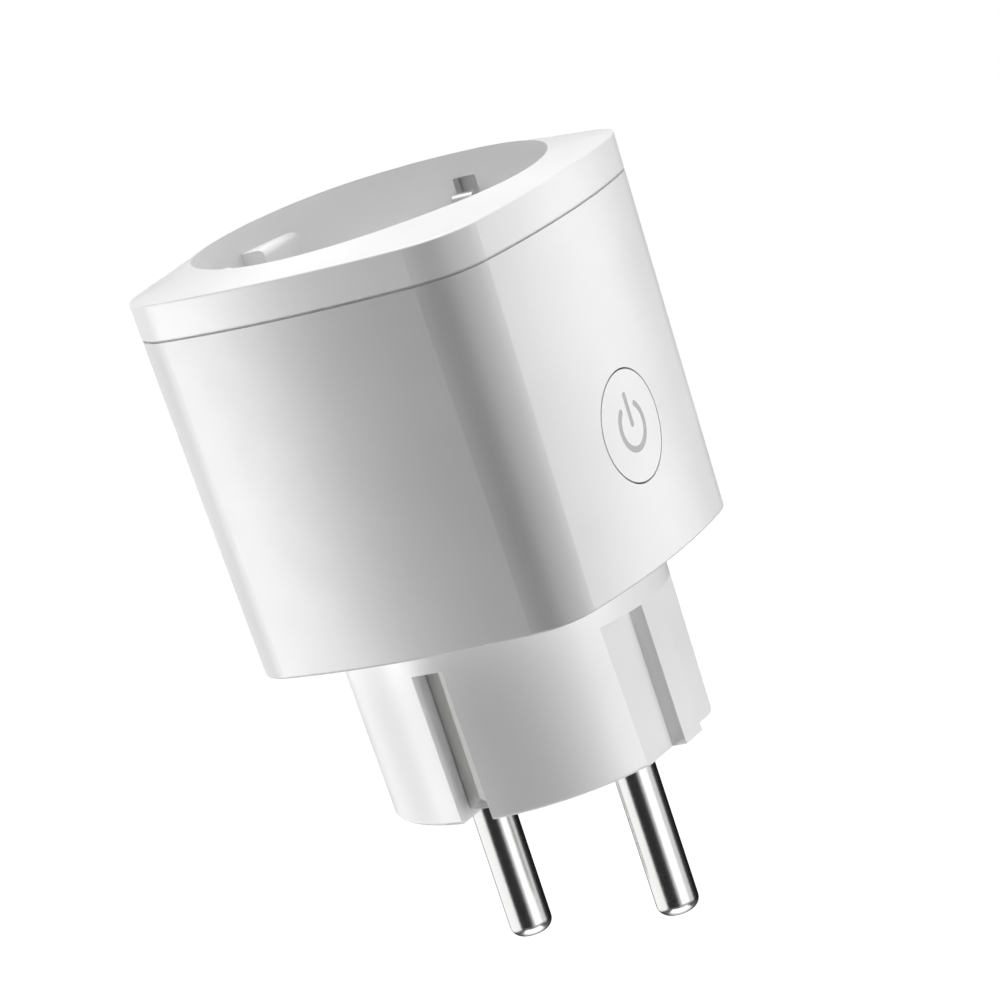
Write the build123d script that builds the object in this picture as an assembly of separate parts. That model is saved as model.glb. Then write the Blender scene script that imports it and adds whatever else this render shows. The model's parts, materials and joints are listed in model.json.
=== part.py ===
from build123d import *
import math
import os

# A smart plug: a mains adapter with a round earthed plug below, a round earthed socket above and a
# remote-controlled relay between them.
# Frame: origin at the centre of the plug's flat face, +Z up along the plug's axis towards the socket,
# the two mains pins on the X axis and the two earth contacts on the Y axis.
# All sizes are in millimetres.

# ---- plug nose ----
nose_radius = 18.1            # at the face
nose_draft = 1.15             # degrees, wider upwards
nose_height = 20.0
nose_edge_round = 0.4
face_thickness = 2.4
pin_spacing = 19.0
pin_radius = 2.4
pin_length = 19.3
pin_tip_round = 1.35
pin_shank_radius = 2.2        # where the pin is moulded into the base
pin_relief = 0.3              # the shank shows this far below the face
face_ring_depth = 1.0         # shallow ring in the face around each pin
guide_flat = 16.25            # distance of the guide flats from the axis
guide_top = 16.2
guide_ridge_width = 4.0
guide_ridge_face = 18.0       # distance of the ridge's outer face from the axis
earth_groove_width = 3.9
earth_groove_floor = 15.1     # distance of the groove's floor from the axis
earth_groove_top = 17.2
nose_pocket_half = 14.4       # the hollow nose narrows to this behind the guide flats and grooves
ledge_top = 18.4              # above it the hollow is round and wider

# ---- square body ----
body_half = 22.3              # half width across the flats at the body's underside
body_crown = 80.0             # radius of each slightly bulged side
body_corner = 6.5
body_taper = 1.37             # degrees, wider upwards
wall = 1.6
floor_thickness = 1.8
seam_height = 58.7
seam_gap = 0.3
rim_height = 63.0             # outer edge of the socket's rim
underside_round = 0.3
rim_round = 0.2

# ---- socket ----
recess_radius = 20.0
recess_top = 64.3             # inner edge of the rim, which slopes up to it
recess_depth = 17.5
cup_wall = 1.2
cup_floor = 1.6
contact_hole_radius = 2.9
guide_block_face = 16.8       # distance of the guide blocks' faces from the axis
guide_block_gap = 6.2
guide_block_top = 61.6
clip_slot_width = 2.9
clip_slot_top = 61.5
clip_width = 2.6

# ---- push button on the +X side ----
button_height = 35.0
button_window_radius = 6.25
button_gap = 0.2
button_travel = 0.5

# ---- boards and contacts ----
board_bottom = 24.4
board_thickness = 1.6
strip_thickness = 0.5
running_gap = 0.06

recess_floor = recess_top - recess_depth
cup_bottom = recess_floor - cup_floor
board_top = board_bottom + board_thickness
pin_x = pin_spacing / 2
taper_rate = math.tan(math.radians(body_taper))
nose_opening_radius = nose_radius + 0.5
flange_radius = 20.3
flange_top = 23.2
pin_boss_top = 9.0
strap_width = earth_groove_width - 0.2
strap_face = earth_groove_floor + strip_thickness
strap_crest = strap_face + 0.5          # the contact face is raised along its middle
strap_end = 13.7              # the strap's lower end is curled in to this distance from the axis
strap_curl = 1.2              # radius of the curl's centre line
strap_low = 0.65              # height of the curled end's centre line
strap_crossing = 23.75        # the strap passes over the flange at this height
strap_riser = 20.2            # distance of the strap's riser from the axis
snap_height = 56.5
rim_pocket_top = 61.4
leg_position = 16.2
post_position = 12.6
peg_x = 6.0
peg_y = 14.0
carrier_bottom = 41.2
carrier_top = 42.6
control_board_x = 15.0
cap_back = 21.0               # back of the button's front plate
symbol_back = 21.7
plunger_tip = 19.7
relay_front = 4.4
relay_back = 19.4
relay_middle = (relay_front + relay_back) / 2
relay_floor = board_top + 0.9
relay_top = 40.6
coil_height = 30.4
fuse_height = 21.0
armature_pivot = 34.5
relay_contact_height = 38.4
relay_pin_places = [(-8, 7), (-8, 17), (4.4, 11.9), (7, 7), (7, 17)]
filter_lead_places = [(-5, -15.7), (5, -15.7)]
varistor_lead_places = [(-2.5, -9.8), (2.5, -9.8)]
header_pin_places = [(control_board_x - 0.6, 2.54 * step) for step in range(-2, 3)]


# ---- simple shapes ----
def block(x_low, x_high, y_low, y_high, z_low, z_high):
    shape = Box(x_high - x_low, y_high - y_low, z_high - z_low, align=(Align.MIN, Align.MIN, Align.MIN))
    return Pos(x_low, y_low, z_low) * shape


def upright(radius, z_low, z_high, x=0, y=0):
    shape = Cylinder(radius, z_high - z_low, align=(Align.CENTER, Align.CENTER, Align.MIN))
    return Pos(x, y, z_low) * shape


def along_x(radius, x_low, x_high, y, z):
    shape = Cylinder(radius, x_high - x_low, align=(Align.CENTER, Align.CENTER, Align.MIN))
    return Pos(x_low, y, z) * (Rot(0, 90, 0) * shape)


def along_y(radius, y_low, y_high, x, z):
    shape = Cylinder(radius, y_high - y_low, align=(Align.CENTER, Align.CENTER, Align.MIN))
    return Pos(x, y_high, z) * (Rot(90, 0, 0) * shape)


def bent_strip(points, thickness, width, bend):
    """A strip along X whose centre line runs through (y, z) points; bend is one radius or one a corner."""
    profile = trace(FilletPolyline(*points, radius=bend), line_width=thickness)
    return Plane.YZ * extrude(profile, amount=width / 2, both=True)


# ---- the body's outline ----
def corner_centre(half, crown, corner):
    face_centre = half - crown
    reach = crown - corner
    return (face_centre + math.sqrt(2 * reach * reach - face_centre * face_centre)) / 2


def outline_sizes(height, inset):
    growth = (height - nose_height) * taper_rate - inset
    return body_half + growth, body_crown + growth, body_corner + growth


def outline_tangent(half, crown, corner):
    centre = corner_centre(half, crown, corner)
    scale = crown / (crown - corner)
    return (half - crown + scale * (centre - half + crown), scale * centre)


def body_outline(height, inset=0.0):
    """Square with four bulged sides and four round corners, tangent to each other."""
    half, crown, corner = outline_sizes(height, inset)
    centre = corner_centre(half, crown, corner)
    x, y = outline_tangent(half, crown, corner)
    diagonal = centre + corner * math.sqrt(0.5)
    edges = []
    for turn in range(4):
        side = ThreePointArc((x, -y), (half, 0), (x, y))
        bend = ThreePointArc((x, y), (diagonal, diagonal), (y, x))
        edges += [Rot(0, 0, 90 * turn) * side, Rot(0, 0, 90 * turn) * bend]
    return Pos(0, 0, height) * make_face(edges)


def circle_like_outline(height, radius):
    """A circle cut into eight arcs that face the eight arcs of the body's outline."""
    x, y = outline_tangent(*outline_sizes(height, 0.0))
    split = math.degrees(math.atan2(y, x))
    edges = []
    for turn in range(4):
        start = 90 * turn - split
        edges.append(CenterArc((0, 0), radius, start, 2 * split))
        edges.append(CenterArc((0, 0), radius, start + 2 * split, 90 - 2 * split))
    return Pos(0, 0, height) * make_face(edges)


def body_block(z_low, z_high, inset=0.0):
    return loft([body_outline(z_low, inset), body_outline(z_high, inset)], ruled=True)


def corners_only(z_low, z_high, start=11.0):
    reach = 2 * body_half
    corners = []
    for sign_x in (-1, 1):
        for sign_y in (-1, 1):
            x = sorted((sign_x * start, sign_x * reach))
            y = sorted((sign_y * start, sign_y * reach))
            corners.append(block(*x, *y, z_low, z_high))
    return Part() + corners


# ---- casings ----
def make_main_housing():
    shell = body_block(nose_height, seam_height)
    underside = shell.faces().sort_by(Axis.Z)[0].edges()
    shell = fillet(underside, underside_round)
    shell -= body_block(nose_height + floor_thickness, seam_height + 1, wall)
    shell -= upright(nose_opening_radius, nose_height - 1, nose_height + 5)
    snap_groove = body_block(snap_height - 0.2, snap_height + 1.0, wall - 0.35)
    shell -= snap_groove & corners_only(snap_height - 1, snap_height + 2)
    for side in (-1, 1):
        low, high = sorted((side * 9.5, side * 11.0))
        shell += block(control_board_x + 1.4, body_half - 1, low, high, board_top + 0.6, 43.0)
    return shell - along_x(button_window_radius, 19, 30, 0, button_height)


def make_rim():
    rim = body_block(seam_height + seam_gap, rim_height)
    slope = (recess_top - rim_height) / (outline_sizes(rim_height, 0)[0] - recess_radius)
    crest_radius = recess_radius - 0.6
    crest_height = recess_top + 0.6 * slope
    rim += loft([body_outline(rim_height), circle_like_outline(crest_height, crest_radius)], ruled=True)
    outer_edges = [edge for edge in rim.edges() if abs(edge.center().Z - rim_height) < 0.001]
    rim = fillet(outer_edges, rim_round)
    return rim + body_block(seam_height, seam_height + seam_gap, 0.4)


def make_snap_tongues():
    tongues = body_block(snap_height - 1.0, rim_pocket_top + 0.2, wall + 0.05)
    tongues += body_block(snap_height, snap_height + 0.8, wall - 0.2)
    tongues -= body_block(snap_height - 2.0, rim_pocket_top + 1.0, wall + 1.1)
    return tongues & corners_only(snap_height - 2, rim_pocket_top + 0.2, 14.0)


def make_guide_blocks():
    """The two stepped blocks at each side of the recess that steer a plug's guide flats."""
    blocks = Part()
    for turn in (0, 180):
        for side in (-1, 1):
            low, high = sorted((side * guide_block_gap / 2, side * 12))
            outer = recess_radius + 0.6
            piece = block(guide_block_face, outer, low, high, recess_floor - 0.5, guide_block_top)
            inner_edge = piece.edges().filter_by(Axis.Y).group_by(Axis.Z)[-1].sort_by(Axis.X)[0]
            piece = fillet(inner_edge, 0.9)
            blocks += Rot(0, 0, turn) * piece
    return blocks & upright(recess_radius + 0.5, recess_floor - 0.5, guide_block_top)


def make_socket_cover():
    cover = make_rim()
    cover -= body_block(seam_height - 1, rim_pocket_top, wall)
    cover += upright(recess_radius + cup_wall, cup_bottom, rim_pocket_top + 0.2)
    cover -= upright(recess_radius, recess_floor, recess_top + 5)
    cover += make_guide_blocks()
    cover += make_snap_tongues()
    for x in (-leg_position, leg_position):
        for y in (-leg_position, leg_position):
            cover += upright(1.4, board_top, rim_pocket_top + 0.2, x, y)
    for side in (-1, 1):
        low, high = sorted((side * (recess_radius - 0.8), side * (recess_radius + cup_wall + 0.2)))
        cover -= block(-clip_slot_width / 2, clip_slot_width / 2, low, high, cup_bottom - 1, clip_slot_top)
        hole = upright(contact_hole_radius, cup_bottom - 1, recess_floor + 1, side * pin_x)
        cover -= hole
        for y in (-peg_y, peg_y):
            cover += upright(1.6, carrier_top, cup_bottom + 0.2, side * peg_x, y)
            cover += upright(0.9, carrier_bottom, carrier_top, side * peg_x, y)
    return cover


def make_plug_base():
    top_radius = nose_radius + nose_height * math.tan(math.radians(nose_draft))
    shoulder = nose_height + floor_thickness
    profile = Polyline((0, 0), (nose_radius, 0), (top_radius, shoulder), (flange_radius, shoulder),
                       (flange_radius, flange_top), (0, flange_top), close=True)
    base = revolve(Plane.XZ * make_face(profile), Axis.Z)
    face_edge = [edge for edge in base.edges() if abs(edge.center().Z) < 0.001]
    base = fillet(face_edge, nose_edge_round)
    cavity = upright(16.4, face_thickness, flange_top + 1)
    half = nose_pocket_half
    cavity &= block(-half, half, -half, half, face_thickness, flange_top + 1)
    base -= cavity + upright(16.6, ledge_top, flange_top + 1)
    for side in (-1, 1):
        x = side * pin_x
        base += upright(4.4, face_thickness - 0.2, pin_boss_top, x) & upright(16, 0, 10)
        base -= upright(pin_shank_radius + 0.02, -1, pin_boss_top + 1, x)
        base -= upright(pin_radius + 0.05, -1, face_ring_depth, x)
        low, high = sorted((side * guide_flat, side * (nose_radius + 2)))
        base -= block(low, high, -12, 12, -1, guide_top)
        low, high = sorted((side * (guide_flat - 0.5), side * guide_ridge_face))
        base += block(low, high, -guide_ridge_width / 2, guide_ridge_width / 2, 0, guide_top + 0.2)
        half = earth_groove_width / 2
        low, high = sorted((side * earth_groove_floor, side * (nose_radius + 2)))
        base -= block(-half, half, low, high, -1, earth_groove_top)
        low, high = sorted((side * (strap_end - 0.3), side * (earth_groove_floor + 0.1)))
        base -= block(-half, half, low, high, -1, strap_low + strap_curl + 0.05)
        low, high = sorted((side * (earth_groove_floor - 0.05), side * (strap_face + 0.05)))
        base -= block(-half, half, low, high, earth_groove_top - 0.1, ledge_top + 0.1)
        for y in (-post_position, post_position):
            base += upright(2.0, flange_top, board_bottom, side * post_position, y)
    for side in (-1, 1):
        base -= upright(1.02, shoulder + 0.2, board_bottom + 1, side * post_position, -side * post_position)
        base += upright(0.9, board_bottom, board_top, side * post_position, side * post_position)
    return base


# ---- push button ----
def make_symbol(depth_low, depth_high):
    """The generic power sign: an open ring with an upright bar through its gap."""
    ring_radius = 2.55
    stroke = 0.7
    gap = 39
    arc = CenterArc((0, 0), ring_radius, 90 + gap, 360 - 2 * gap)
    sign = trace(arc, line_width=stroke) + Pos(0, 1.8) * SlotOverall(3.9, stroke, rotation=90)
    for angle in (90 - gap, 90 + gap):
        turned = math.radians(angle)
        sign += Pos(ring_radius * math.cos(turned), ring_radius * math.sin(turned)) * Circle(stroke / 2)
    solid = extrude(sign, amount=depth_high - depth_low)
    return Pos(depth_low, 0, button_height) * (Plane.YZ * solid)


def make_button_cap():
    radius = button_window_radius - button_gap
    cap = body_block(button_height - 10, button_height + 10) & along_x(radius, cap_back, 30, 0, button_height)
    skirt = along_x(radius, 19.6, cap_back + 0.1, 0, button_height)
    skirt += along_x(radius + 1.1, 19.6, 20.3, 0, button_height)
    skirt -= along_x(radius - 0.9, 19, cap_back, 0, button_height)
    cap += skirt
    cap += along_x(1.5, plunger_tip + 0.05, cap_back + 0.1, 0, button_height)
    return cap - make_symbol(symbol_back, 30)


def make_power_symbol():
    return make_symbol(symbol_back, 30) & body_block(button_height - 10, button_height + 10)


def make_light_guide():
    guide = along_x(4.4, 20.2, cap_back, 0, button_height)
    return guide - along_x(1.55, 20, cap_back + 1, 0, button_height)


def make_tact_switch_body():
    face = plunger_tip - button_travel - 0.2
    body = block(control_board_x + 1.2, face, -3, 3, button_height - 3, button_height + 3)
    return body - along_x(1.75, plunger_tip - 2.3, plunger_tip, 0, button_height)


def make_tact_plunger():
    return along_x(1.7, plunger_tip - 1.7, plunger_tip, 0, button_height)


# ---- pins, earth path and socket contacts ----
def make_pin(side):
    pin = upright(pin_radius, -pin_length, -pin_relief)
    tip = pin.edges().sort_by(Axis.Z)[0]
    pin = fillet(tip, pin_tip_round)
    pin += upright(pin_shank_radius, -pin_relief, pin_boss_top)
    pin += upright(3.2, pin_boss_top, pin_boss_top + 1.5)
    pin += upright(1.4, pin_boss_top, board_top + 0.4)
    return Pos(side * pin_x, 0, 0) * pin


def make_earth_strap(turn):
    """One stamped strip: curled at the plug's face, up the groove, over the flange and up the housing."""
    run = earth_groove_floor + strip_thickness / 2
    points = [(-strap_end, strap_low), (-run, strap_low), (-run, strap_crossing),
              (-strap_riser, strap_crossing), (-strap_riser, 44.0)]
    strap = bent_strip(points, strip_thickness, strap_width, [strap_curl, 0.35, 0.35])
    half = strap_width / 2
    section = make_face(Polyline((-half, -strap_face + 0.1), (half, -strap_face + 0.1), (half, -strap_face),
                                 (0, -strap_crest), (-half, -strap_face), close=True))
    top = earth_groove_top - 0.05
    outline = block(-half, half, -strap_crest, -strap_end, strap_low - strip_thickness / 2, top)
    lower_edge = outline.edges().filter_by(Axis.X).group_by(Axis.Z)[0].sort_by(Axis.Y)[0]
    outline = fillet(lower_edge, strap_curl + 0.7)
    strap += extrude(section, amount=top) & outline
    return Rot(0, 0, turn) * strap


def make_earth_clip(turn):
    """The sprung clip that bows into the recess and touches a plug's earth strip."""
    points = [(-19.6, 42.2), (-19.6, 45.0), (-20.2, 47.0), (-20.2, 49.5), (-17.9, 55.6), (-17.9, 58.6),
              (-18.6, 59.7), (-19.6, 59.7)]
    bends = [0.8, 0.8, 3.0, 4.0, 0.9, 0.6]
    return Rot(0, 0, turn) * bent_strip(points, strip_thickness, clip_width, bends)


def make_contact(side):
    """A U of spring brass: two leaves that grip a plug's pin, and two solder tags."""
    half = [(2.35, 37.4), (2.9, 33.0), (2.9, board_top + 0.95)]
    points = [(2.9, 40.6)] + half
    points += [(-y, z) for y, z in reversed(points)]
    contact = bent_strip(points, strip_thickness, 5.0, 0.45)
    for y in (-2.9, 2.9):
        contact += block(-1, 1, y - 0.25, y + 0.25, board_bottom - 0.6, board_top + 1.2)
    return Pos(side * pin_x, 0, 0) * contact


def make_contact_carrier():
    carrier = upright(16.5, carrier_bottom, carrier_top) & block(-14.5, 14.5, -17, 17, 0, 60)
    for side in (-1, 1):
        x = side * pin_x
        carrier += block(x - 4.1, x + 4.1, -4.1, 4.1, board_top + 0.6, carrier_bottom + 0.2)
        carrier -= block(x - 3.3, x + 3.3, -3.3, 3.3, board_top, carrier_bottom)
        carrier -= upright(contact_hole_radius, carrier_bottom - 1, carrier_top + 1, x)
        for y in (-peg_y, peg_y):
            carrier -= upright(0.95, carrier_bottom - 1, carrier_top + 1, side * peg_x, y)
    return carrier + upright(2.0, carrier_top, cup_bottom - 0.1)


def make_contact_shutter():
    """Turns about the plug's axis when two pins press its ramps, and uncovers both contact holes."""
    low, high = carrier_top + 0.2, cup_bottom - 0.2
    shutter = upright(5.0, low, high) + block(-pin_x, pin_x, -2.2, 2.2, low, high)
    for side in (-1, 1):
        shutter += upright(3.5, low, high, side * pin_x)
    for turn in (0, 180):
        ramp = Pos(pin_x, 0.6, high) * (Rot(30, 0, 0) * block(-4, 4, -8, 0, 0, 5))
        shutter -= Rot(0, 0, turn) * ramp
    shutter -= upright(2.0 + running_gap, low - 1, high + 1)
    return shutter - upright(3.9, low - 1, low + 1.3)


def make_shutter_spring():
    wire = 0.2
    radius = 3.1
    coil_path = Helix(pitch=0.45, height=0.9, radius=radius)
    start = coil_path @ 0
    section = Plane(origin=start, z_dir=coil_path % 0) * Circle(wire)
    coil = sweep(section, path=coil_path, is_frenet=True)
    return Pos(0, 0, carrier_top + wire + 0.02) * coil


# ---- boards and what they carry ----
def make_power_board():
    board = body_block(board_bottom, board_top, wall + 1.3)
    for side in (-1, 1):
        board -= upright(1.5, 20, 30, side * pin_x)
        for y in (-2.9, 2.9):
            board -= block(side * pin_x - 1.2, side * pin_x + 1.2, y - 0.45, y + 0.45, 20, 30)
        for y in (-post_position, post_position):
            board -= upright(1.05, 20, 30, side * post_position, y)
    for x, y in relay_pin_places + filter_lead_places + varistor_lead_places + header_pin_places:
        board -= upright(0.6, 20, 30, x, y)
    return board


def make_relay_cover():
    cover = block(-9.5, 9.5, relay_front, relay_back, relay_floor, relay_top)
    cover = fillet(cover.edges().filter_by(Axis.Z), 0.6)
    return cover - block(-8.7, 8.7, relay_front + 0.8, relay_back - 0.8, relay_floor - 1, relay_top - 0.8)


def make_relay_base():
    return block(-9.5, 9.5, relay_front, relay_back, board_top, relay_floor)


def make_relay_terminals():
    pins = [upright(0.5, board_bottom - 0.9, board_top, x, y) for x, y in relay_pin_places]
    return Part() + pins


def make_relay_bobbin():
    bobbin = along_x(2.1, -7.5, 2.6, relay_middle, coil_height)
    for x in (-7.5, 1.8):
        bobbin += Pos(x + 0.4, relay_middle, coil_height) * Box(0.8, 6.8, 6.8)
    return bobbin - along_x(1.55, -8, 3, relay_middle, coil_height)


def make_relay_winding():
    winding = along_x(3.2, -6.7, 1.8, relay_middle, coil_height)
    return winding - along_x(2.1, -7, 2, relay_middle, coil_height)


def make_relay_yoke():
    yoke = along_x(1.5, -7.8, 3.0, relay_middle, coil_height)
    yoke += along_x(2.6, 2.65, 3.1, relay_middle, coil_height)
    low, high = relay_middle - 2.5, relay_middle + 2.5
    yoke += block(-8.6, -7.6, low, high, coil_height - 3, armature_pivot + 0.5)
    return yoke + block(-8.6, 3.6, low, high, armature_pivot - 0.5, armature_pivot + 0.5)


def make_relay_armature():
    low, high = relay_middle - 2.5, relay_middle + 2.5
    plate = block(4.0, 4.8, low, high, relay_floor + 0.7, relay_contact_height + 1)
    return plate + along_x(1.2, 4.8, 5.5, relay_middle, relay_contact_height)


def make_relay_fixed_contact():
    blade = block(6.5, 7.1, relay_middle - 2.5, relay_middle + 2.5, relay_floor, relay_contact_height + 1)
    return blade + along_x(1.2, 5.95, 6.5, relay_middle, relay_contact_height)


def make_control_board():
    return block(control_board_x, control_board_x + 1.2, -11, 11, board_top + 1.2, 44.0)


def make_board_header():
    header = block(control_board_x - 1.25, control_board_x, -6.5, 6.5, board_top, board_top + 2.5)
    for x, y in header_pin_places:
        header += upright(0.3, board_bottom - 0.8, board_top, x, y)
    return header


def make_status_led():
    return Pos(control_board_x + 1.6, 0, button_height + 4.8) * Box(0.8, 1.6, 1.2)


def make_wireless_board():
    return block(-16.6, -15.6, -8, 8, board_top, 44.4)


def make_wireless_shield():
    can = block(-18.6, -16.6, -6.5, 6.5, 28, 39)
    return can - block(-18.3, -16.5, -6.2, 6.2, 28.3, 38.7)


def add_leads(component, places, top):
    for x, y in places:
        component += upright(0.35, board_bottom - 0.9, top, x, y)
    return component


def make_filter_capacitor():
    case = block(-6.5, 6.5, -18.9, -12.6, board_top + 0.3, board_top + 11)
    case = fillet(case.edges(), 0.6)
    return add_leads(case, filter_lead_places, board_top + 1)


def make_surge_varistor():
    disc = along_y(5.0, -11.4, -8.2, 0, board_top + 5.9)
    disc = fillet(disc.edges(), 0.9)
    return add_leads(disc, varistor_lead_places, board_top + 4)


def make_can_capacitor(radius, length, x, y):
    can = upright(radius, board_bottom - 0.2 - length, board_bottom - 0.2, x, y)
    return fillet(can.edges().sort_by(Axis.Z)[0], 0.5)


def make_choke():
    choke = upright(2.5, 14.6, board_bottom - 0.2)
    choke += upright(3.0, 14.6, 15.8)
    choke += upright(3.0, board_bottom - 1.4, board_bottom - 0.2)
    return Pos(-7.6, 10.6, 0) * choke


def make_fuse_resistor():
    body = along_x(1.9, -4.5, 4.5, -9.5, fuse_height)
    body = fillet(body.edges(), 0.6)
    for side in (-1, 1):
        low, high = sorted((side * 4.3, side * 6.2))
        body += along_x(0.35, low, high, -9.5, fuse_height)
        body += upright(0.35, fuse_height, board_bottom, side * 5.9, -9.5)
    return body


def make_rectifier():
    return block(6.6, 10.4, -11.4, -7.8, board_bottom - 1.5, board_bottom)


def make_metering_chip():
    return block(-10.4, -6.6, -11.2, -7.4, board_bottom - 1.5, board_bottom)


def make_current_shunt():
    bridge = block(-13.8, -11.4, 4.9, 10.4, board_top + 0.6, board_top + 1.4)
    for y in (4.9, 9.6):
        bridge += block(-13.8, -11.4, y, y + 0.8, board_top, board_top + 1)
    return bridge


def make_board_screws():
    screws = Part()
    for side in (-1, 1):
        screw = upright(1.0, flange_top - 1.0, board_top) + upright(2.0, board_top, board_top + 1.3)
        screw -= block(-1.4, 1.4, -0.25, 0.25, board_top + 0.7, board_top + 2)
        screw -= block(-0.25, 0.25, -1.4, 1.4, board_top + 0.7, board_top + 2)
        screws += Pos(side * post_position, -side * post_position, 0) * screw
    return screws


nodes = {
    "main_housing": make_main_housing(),
    "socket_cover": make_socket_cover(),
    "plug_base": make_plug_base(),
    "button_cap": make_button_cap(),
    "power_symbol": make_power_symbol(),
    "light_guide": make_light_guide(),
    "tact_switch_body": make_tact_switch_body(),
    "tact_plunger": make_tact_plunger(),
    "live_pin": make_pin(1),
    "neutral_pin": make_pin(-1),
    "earth_strap_front": make_earth_strap(0),
    "earth_strap_rear": make_earth_strap(180),
    "earth_clip_front": make_earth_clip(0),
    "earth_clip_rear": make_earth_clip(180),
    "live_contact": make_contact(1),
    "neutral_contact": make_contact(-1),
    "contact_carrier": make_contact_carrier(),
    "contact_shutter": make_contact_shutter(),
    "shutter_spring": make_shutter_spring(),
    "power_board": make_power_board(),
    "relay_cover": make_relay_cover(),
    "relay_base": make_relay_base(),
    "relay_terminals": make_relay_terminals(),
    "relay_bobbin": make_relay_bobbin(),
    "relay_winding": make_relay_winding(),
    "relay_yoke": make_relay_yoke(),
    "relay_armature": make_relay_armature(),
    "relay_fixed_contact": make_relay_fixed_contact(),
    "control_board": make_control_board(),
    "board_header": make_board_header(),
    "status_led": make_status_led(),
    "wireless_board": make_wireless_board(),
    "wireless_shield": make_wireless_shield(),
    "filter_capacitor": make_filter_capacitor(),
    "surge_varistor": make_surge_varistor(),
    "bulk_capacitor": make_can_capacitor(4.0, 12, 0, 7),
    "smoothing_capacitor": make_can_capacitor(3.15, 11, 0, -3.6),
    "choke": make_choke(),
    "fuse_resistor": make_fuse_resistor(),
    "rectifier": make_rectifier(),
    "metering_chip": make_metering_chip(),
    "current_shunt": make_current_shunt(),
    "board_screws": make_board_screws(),
}

os.makedirs("parts", exist_ok=True)
for name, shape in nodes.items():
    export_step(shape, f"parts/{name}.step")
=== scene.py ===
import json
import math

import bpy
from mathutils import Matrix, Vector


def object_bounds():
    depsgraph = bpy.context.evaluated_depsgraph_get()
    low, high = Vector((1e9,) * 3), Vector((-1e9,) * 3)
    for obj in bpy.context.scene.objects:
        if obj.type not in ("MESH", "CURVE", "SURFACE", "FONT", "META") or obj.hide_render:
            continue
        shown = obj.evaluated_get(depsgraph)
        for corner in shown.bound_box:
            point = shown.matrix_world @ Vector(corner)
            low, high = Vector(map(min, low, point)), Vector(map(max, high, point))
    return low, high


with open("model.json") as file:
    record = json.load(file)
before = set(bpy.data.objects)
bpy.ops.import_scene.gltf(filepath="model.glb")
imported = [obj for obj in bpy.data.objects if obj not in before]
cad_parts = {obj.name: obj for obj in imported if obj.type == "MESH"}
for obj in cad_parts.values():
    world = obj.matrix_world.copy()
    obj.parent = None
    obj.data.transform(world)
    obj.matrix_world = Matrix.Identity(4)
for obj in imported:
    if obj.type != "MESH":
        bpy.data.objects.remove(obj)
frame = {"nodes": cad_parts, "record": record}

cad_low, cad_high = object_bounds()

# ---- camera, in degrees and metres; azimuths turn round the plug's axis from -Y towards +X ----
CAMERA_AZIMUTH = 32.37
CAMERA_ELEVATION = 11.85
CAMERA_ROLL = 18.3
CAMERA_DISTANCE = 0.5805
CAMERA_AIM = Vector((0.003366, 0.00717, 0.022))   # across, up and height of the point it looks at
CLIP_START = 0.01
SENSOR_WIDTH = 36.0           # millimetres
LENS = 193.2                  # millimetres

# ---- stage, in metres ----
FLOOR_HEIGHT = cad_low.z - 0.62
DOME_RADIUS = 3.0
FLOOR_RADIUS = DOME_RADIUS * 0.97
FLOOR_SIDES = 96
FLOOR_TONE_SCALE = 2
DOME_SEGMENTS = 48
DOME_RINGS = 24

# ---- lights ----
LIGHT_DISTANCE = 0.9          # metres from the middle of the plug
WATTS_PER_AREA = 4            # watts per square metre of a softbox at a brightness of 1
LIT_APART = {                 # groups of nodes that a softbox may light on their own
    "pins": ("live_pin", "neutral_pin"),
    "strips": ("earth_strap_front", "earth_strap_rear", "earth_clip_front", "earth_clip_rear"),
    "nose": ("plug_base",),
    "head": ("main_housing", "socket_cover", "button_cap", "power_symbol"),
    "cover": ("socket_cover",),
}
NOT_SHELLS = LIT_APART["pins"] + LIT_APART["strips"]   # the group "shells" is every other node
# Each softbox: name, azimuth, elevation, width and height in degrees, brightness, the group it lights.
SOFTBOXES = [
    ("left_softbox", -65, -13, 24, 34, 8.4, "shells"),
    ("left_gloss_softbox", -51, -13, 26, 34, 6.0, "shells"),
    ("left_fill", -100, -8, 50, 40, 0.5, "shells"),
    ("left_nose_softbox", -95, -12, 40, 40, 0.7, "nose"),
    ("left_pin_softbox", -74, -12, 84, 44, 0.9, "pins"),
    ("strip_softbox", -8, -12, 50, 50, 0.8, "strips"),
    ("right_pin_softbox", 47, -12, 18, 44, 0.4, "pins"),
    ("right_softbox", 72, -10, 40, 36, 1.1, "all"),
    ("right_nose_softbox", 88, -12, 34, 40, 2.8, "nose"),
    ("right_fill", 108, -10, 32, 36, 0.6, "all"),
    ("far_right_softbox", 142, -14, 34, 36, 3.0, "head"),
    ("rear_softbox", 134, 24, 44, 30, 1.3, "all"),
    ("recess_softbox", 5, 32, 40, 40, 0.7, "cover"),
    ("top_softbox", 200, 80, 60, 60, 2.55, "all"),
    ("low_pin_softbox", 32, -66, 70, 44, 1.2, "pins"),
]
GLOSS_ONLY = ("left_gloss_softbox",)     # this one shows in reflections and adds no even light
DIFFUSE_ONLY = ("left_softbox",)         # this one adds even light and shows in no reflection
AIR_BRIGHTNESS = [            # upward part of the direction, brightness
    (-1.0, 0.90), (-0.87, 0.80), (-0.80, 0.12), (-0.5, 0.04), (-0.42, 0.005),
    (0.0, 0.005), (0.3, 0.06), (1.0, 0.25),
]

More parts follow.
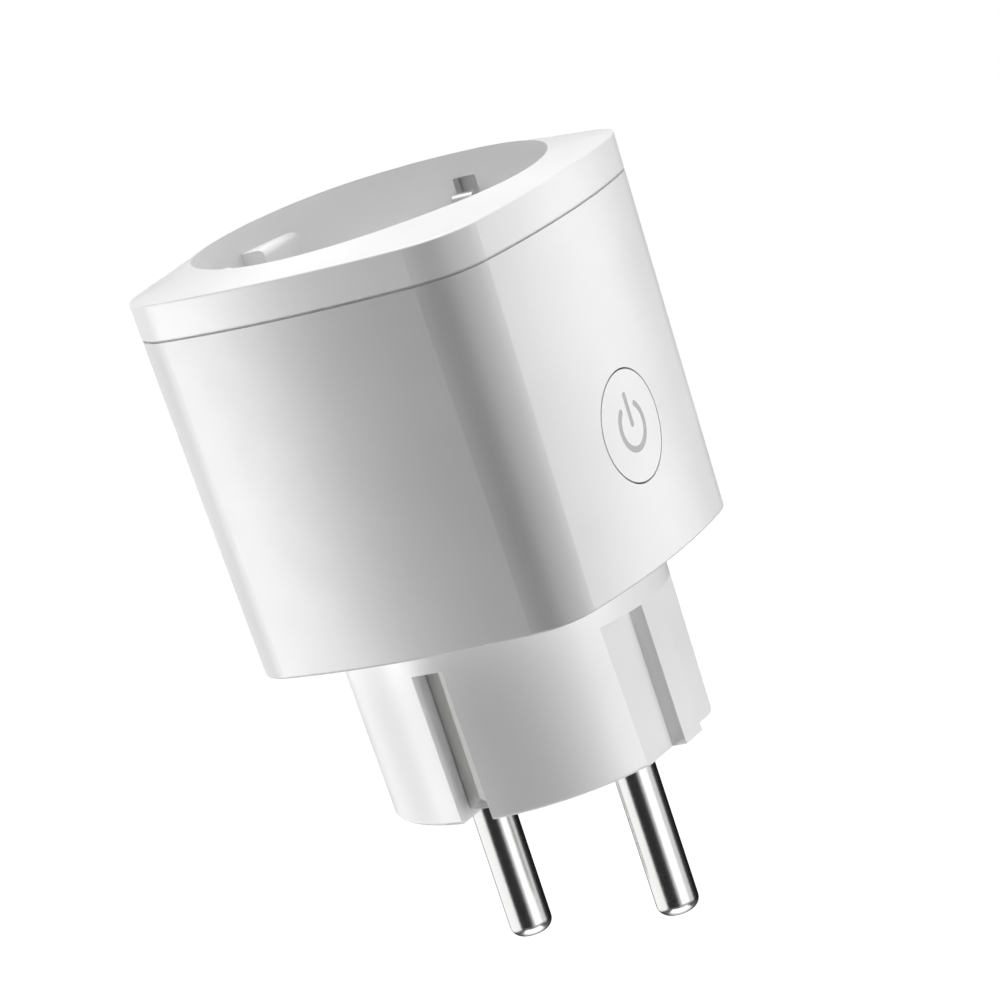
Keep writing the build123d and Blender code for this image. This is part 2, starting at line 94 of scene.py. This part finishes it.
# ---- finishes: noise scales are per metre, bump distances are in metres ----
TONE_SCALE = 45               # the drift of tone in plastic
SHEEN_SCALE = 260             # the drift of roughness in plastic
SHEEN_DETAIL = 4
GRAIN_DETAIL = 3
PLASTIC_BUMP = 0.00004
PLASTIC_IOR = 1.54
METAL_DETAIL = 3
METAL_SHEEN_TO_GRAIN = 1.3    # scale of the roughness over scale of the tone, in metal
METAL_BUMP = 0.00002


# ---- node helpers ----
def grey(value):
    return (value, value, value)


def set_stops(ramp, stops):
    """Gives a colour ramp its stops, which are (position, colour) pairs in rising order."""
    while len(ramp.elements) < len(stops):
        ramp.elements.new(0.5)
    for element, (position, colour) in zip(ramp.elements, stops):
        element.position = position
        element.color = (*colour, 1)


class Shader:
    """A material's node tree with short calls for the few nodes that the finishes share."""

    def __init__(self, name):
        self.material = bpy.data.materials.new(name)
        self.material.use_nodes = True
        self.nodes = self.material.node_tree.nodes
        self.links = self.material.node_tree.links
        self.surface = self.nodes["Principled BSDF"]
        self.place = self.nodes.new("ShaderNodeTexCoord").outputs["Object"]

    def set(self, **sockets):
        for name, value in sockets.items():
            self.surface.inputs[name.replace("_", " ")].default_value = value

    def noise(self, scale, detail=2.0, stretch=(1, 1, 1)):
        texture = self.nodes.new("ShaderNodeTexNoise")
        texture.inputs["Scale"].default_value = scale
        texture.inputs["Detail"].default_value = detail
        place = self.place
        if stretch != (1, 1, 1):
            mapping = self.nodes.new("ShaderNodeMapping")
            mapping.inputs["Scale"].default_value = stretch
            self.links.new(place, mapping.inputs["Vector"])
            place = mapping.outputs["Vector"]
        self.links.new(place, texture.inputs["Vector"])
        return texture.outputs["Fac"]

    def ramp(self, factor, *stops):
        ramp = self.nodes.new("ShaderNodeValToRGB")
        set_stops(ramp.color_ramp, stops)
        self.links.new(factor, ramp.inputs["Fac"])
        return ramp.outputs["Color"]

    def to(self, output, socket):
        self.links.new(output, self.surface.inputs[socket])

    def bump(self, height, strength, distance):
        bump = self.nodes.new("ShaderNodeBump")
        bump.inputs["Strength"].default_value = strength
        bump.inputs["Distance"].default_value = distance
        self.links.new(height, bump.inputs["Height"])
        self.to(bump.outputs["Normal"], "Normal")


# ---- finishes ----
def plastic(name, dark, light, rough=(0.31, 0.36), grain=5200, strength=0.05):
    """Moulded plastic or a coating: a faint drift of tone and a fine even grain."""
    s = Shader(name)
    s.to(s.ramp(s.noise(TONE_SCALE), (0.35, dark), (0.65, light)), "Base Color")
    sheen = s.noise(SHEEN_SCALE, SHEEN_DETAIL)
    s.to(s.ramp(sheen, (0.3, grey(rough[0])), (0.7, grey(rough[1]))), "Roughness")
    s.bump(s.noise(grain, GRAIN_DETAIL), strength, PLASTIC_BUMP)
    s.set(IOR=PLASTIC_IOR)
    return s.material


def metal(name, dark, light, rough, stretch=(1, 1, 1), grain=900, strength=0.06):
    """Plated or bare metal. A larger number in stretch packs its marks closer along that axis."""
    s = Shader(name)
    s.to(s.ramp(s.noise(grain, METAL_DETAIL, stretch), (0.35, dark), (0.65, light)), "Base Color")
    sheen = s.noise(grain * METAL_SHEEN_TO_GRAIN, METAL_DETAIL, stretch)
    s.to(s.ramp(sheen, (0.3, grey(rough[0])), (0.7, grey(rough[1]))), "Roughness")
    s.bump(s.noise(grain, stretch=stretch), strength, METAL_BUMP)
    s.set(Metallic=1.0)
    return s.material


# Each material slot: its maker, darker and lighter colour, and the settings that are its own.
FINISHES = {
    "white_shell": (plastic, grey(0.80), grey(0.84), {}),
    "grey_symbol": (plastic, (0.30, 0.30, 0.31), (0.35, 0.35, 0.36), {}),
    "clear_plastic": (plastic, (0.80, 0.82, 0.82), (0.86, 0.88, 0.88), {"rough": (0.15, 0.2)}),
    "nickel_pin": (
        metal, (0.79, 0.785, 0.78), (0.83, 0.83, 0.825),
        {"rough": (0.22, 0.25), "stretch": (1, 1, 12), "strength": 0.01}),
    "plated_strip": (
        metal, (0.66, 0.66, 0.65), (0.70, 0.70, 0.69),
        {"rough": (0.42, 0.48), "stretch": (4, 4, 1), "strength": 0.02}),
    "spring_brass": (
        metal, (0.72, 0.50, 0.22), (0.83, 0.63, 0.31),
        {"rough": (0.25, 0.38), "stretch": (6, 6, 0.5)}),
    "inner_plastic": (plastic, (0.70, 0.69, 0.65), (0.77, 0.76, 0.72), {}),
    "shutter_plastic": (plastic, grey(0.78), grey(0.84), {}),
    "spring_steel": (metal, (0.42, 0.42, 0.43), (0.56, 0.56, 0.57), {"rough": (0.28, 0.4)}),
    "board_laminate": (
        plastic, (0.02, 0.16, 0.07), (0.04, 0.22, 0.10),
        {"rough": (0.3, 0.4), "grain": 900, "strength": 0.15}),
    "black_plastic": (plastic, (0.015, 0.015, 0.017), (0.03, 0.03, 0.032), {"rough": (0.45, 0.6)}),
    "relay_plastic": (plastic, (0.02, 0.02, 0.025), (0.035, 0.035, 0.04), {"rough": (0.3, 0.4)}),
    "tinned_wire": (metal, (0.62, 0.62, 0.61), (0.74, 0.74, 0.73), {"rough": (0.3, 0.45)}),
    "copper_wire": (
        metal, (0.45, 0.14, 0.05), (0.62, 0.24, 0.10),
        {"rough": (0.2, 0.3), "stretch": (60, 1, 1)}),
    "capacitor_box": (plastic, (0.66, 0.50, 0.10), (0.74, 0.58, 0.14), {"rough": (0.3, 0.4)}),
    "varistor_coating": (
        plastic, (0.04, 0.12, 0.36), (0.07, 0.17, 0.45),
        {"rough": (0.3, 0.45), "grain": 700, "strength": 0.3}),
    "can_aluminium": (plastic, (0.03, 0.035, 0.05), (0.05, 0.055, 0.07), {"rough": (0.25, 0.32)}),
    "ferrite": (
        plastic, (0.03, 0.03, 0.033), (0.06, 0.06, 0.063),
        {"rough": (0.6, 0.75), "grain": 1500, "strength": 0.4}),
    "resistor_coating": (
        plastic, (0.36, 0.08, 0.05), (0.45, 0.12, 0.07),
        {"rough": (0.35, 0.5), "grain": 900, "strength": 0.3}),
}


def paint_cad_nodes():
    slot_of = {part["node"]: part["material_slot"] for part in frame["record"]["subparts"]}
    materials = {}
    for slot, (make, dark, light, own) in FINISHES.items():
        materials[slot] = make(slot + "_finish", dark, light, **own)
    for name, node in frame["nodes"].items():
        for place in node.material_slots:
            place.material = materials[slot_of[name]]


# ---- stage ----
def add_to_stage(name, material):
    """Names and stages the mesh made last, which only the camera is to see."""
    thing = bpy.context.object
    thing.name = name
    thing.data.materials.append(material)
    for ray in ("diffuse", "glossy", "transmission", "volume_scatter", "shadow"):
        setattr(thing, "visible_" + ray, False)


def make_floor():
    """A plain pale floor far below the plug."""
    s = Shader("studio_floor_finish")
    tone = s.noise(FLOOR_TONE_SCALE)
    s.to(s.ramp(tone, (0.3, grey(0.985)), (0.7, grey(1.0))), "Emission Color")
    s.set(Base_Color=(0.9, 0.9, 0.9, 1), Roughness=0.9, Emission_Strength=1.0)
    bpy.ops.mesh.primitive_circle_add(vertices=FLOOR_SIDES, radius=FLOOR_RADIUS, fill_type="NGON",
                                      location=(0, 0, FLOOR_HEIGHT))
    add_to_stage("studio_floor", s.material)


def make_backdrop():
    """A white dome, so that every view has the same plain background."""
    s = Shader("studio_backdrop_finish")
    s.set(Base_Color=(0, 0, 0, 1), Emission_Color=(1, 1, 1, 1), Emission_Strength=1.0)
    bpy.ops.mesh.primitive_uv_sphere_add(segments=DOME_SEGMENTS, ring_count=DOME_RINGS, radius=DOME_RADIUS)
    add_to_stage("studio_backdrop", s.material)


# ---- lights and camera ----
def outward(azimuth, elevation):
    """The unit vector from the plug towards a direction given in degrees."""
    a, e = math.radians(azimuth), math.radians(elevation)
    return Vector((math.sin(a) * math.cos(e), -math.cos(a) * math.cos(e), math.sin(e)))


def softbox(name, azimuth, elevation, wide, tall, brightness):
    """A flat light that faces the plug's middle and looks wide by tall degrees from there."""
    light = bpy.data.lights.new(name, "AREA")
    light.shape = "RECTANGLE"
    light.size = 2 * LIGHT_DISTANCE * math.tan(math.radians(wide) / 2)
    light.size_y = 2 * LIGHT_DISTANCE * math.tan(math.radians(tall) / 2)
    light.energy = brightness * WATTS_PER_AREA * light.size * light.size_y
    thing = bpy.data.objects.new(name, light)
    bpy.context.scene.collection.objects.link(thing)
    thing.visible_camera = False
    thing.visible_diffuse = name not in GLOSS_ONLY
    thing.visible_glossy = name not in DIFFUSE_ONLY
    away = outward(azimuth, elevation)
    thing.location = (cad_low + cad_high) / 2 + away * LIGHT_DISTANCE
    thing.rotation_mode = "QUATERNION"
    thing.rotation_quaternion = away.to_track_quat("Z", "Y")
    return thing


def fill_with_air():
    """Dim surrounding light that is brighter straight above and below than at the horizon."""
    world = bpy.data.worlds.new("studio_air")
    bpy.context.scene.world = world
    world.use_nodes = True
    nodes, links = world.node_tree.nodes, world.node_tree.links
    split = nodes.new("ShaderNodeSeparateXYZ")
    links.new(nodes.new("ShaderNodeTexCoord").outputs["Generated"], split.inputs["Vector"])
    height = nodes.new("ShaderNodeMapRange")
    height.inputs["From Min"].default_value = -1.0
    links.new(split.outputs["Z"], height.inputs["Value"])
    ramp = nodes.new("ShaderNodeValToRGB")
    set_stops(ramp.color_ramp, [((upward + 1) / 2, grey(value)) for upward, value in AIR_BRIGHTNESS])
    links.new(height.outputs["Result"], ramp.inputs["Fac"])
    links.new(ramp.outputs["Color"], nodes["Background"].inputs["Color"])


def group_lit_nodes():
    """A collection of nodes for each group that a softbox may light on its own."""
    lit = {group: bpy.data.collections.new("lit_" + group) for group in (*LIT_APART, "shells")}
    for name, node in frame["nodes"].items():
        for group, names in LIT_APART.items():
            if name in names:
                lit[group].objects.link(node)
        if name not in NOT_SHELLS:
            lit["shells"].objects.link(node)
    return lit


def place_lights():
    lit = group_lit_nodes()
    for *box, group in SOFTBOXES:
        light = softbox(*box)
        if group in lit:
            light.light_linking.receiver_collection = lit[group]


def place_camera():
    back = outward(CAMERA_AZIMUTH, CAMERA_ELEVATION)
    a, roll = math.radians(CAMERA_AZIMUTH), math.radians(CAMERA_ROLL)
    across = Vector((math.cos(a), math.sin(a), 0))
    up = back.cross(across)
    target = Vector((0, 0, CAMERA_AIM.z)) + CAMERA_AIM.x * across + CAMERA_AIM.y * up
    right = math.cos(roll) * across - math.sin(roll) * up
    top = math.sin(roll) * across + math.cos(roll) * up
    camera = bpy.data.objects.new("camera", bpy.data.cameras.new("camera"))
    bpy.context.scene.collection.objects.link(camera)
    camera.data.sensor_width = SENSOR_WIDTH
    camera.data.lens = LENS
    camera.data.clip_start = CLIP_START
    camera.data.clip_end = 2 * DOME_RADIUS
    turn = Matrix((right, top, back)).transposed()
    camera.matrix_world = Matrix.Translation(target + back * CAMERA_DISTANCE) @ turn.to_4x4()
    bpy.context.scene.camera = camera


place_camera()
make_floor()
make_backdrop()
fill_with_air()
place_lights()
paint_cad_nodes()
bpy.context.scene.view_settings.view_transform = "Standard"
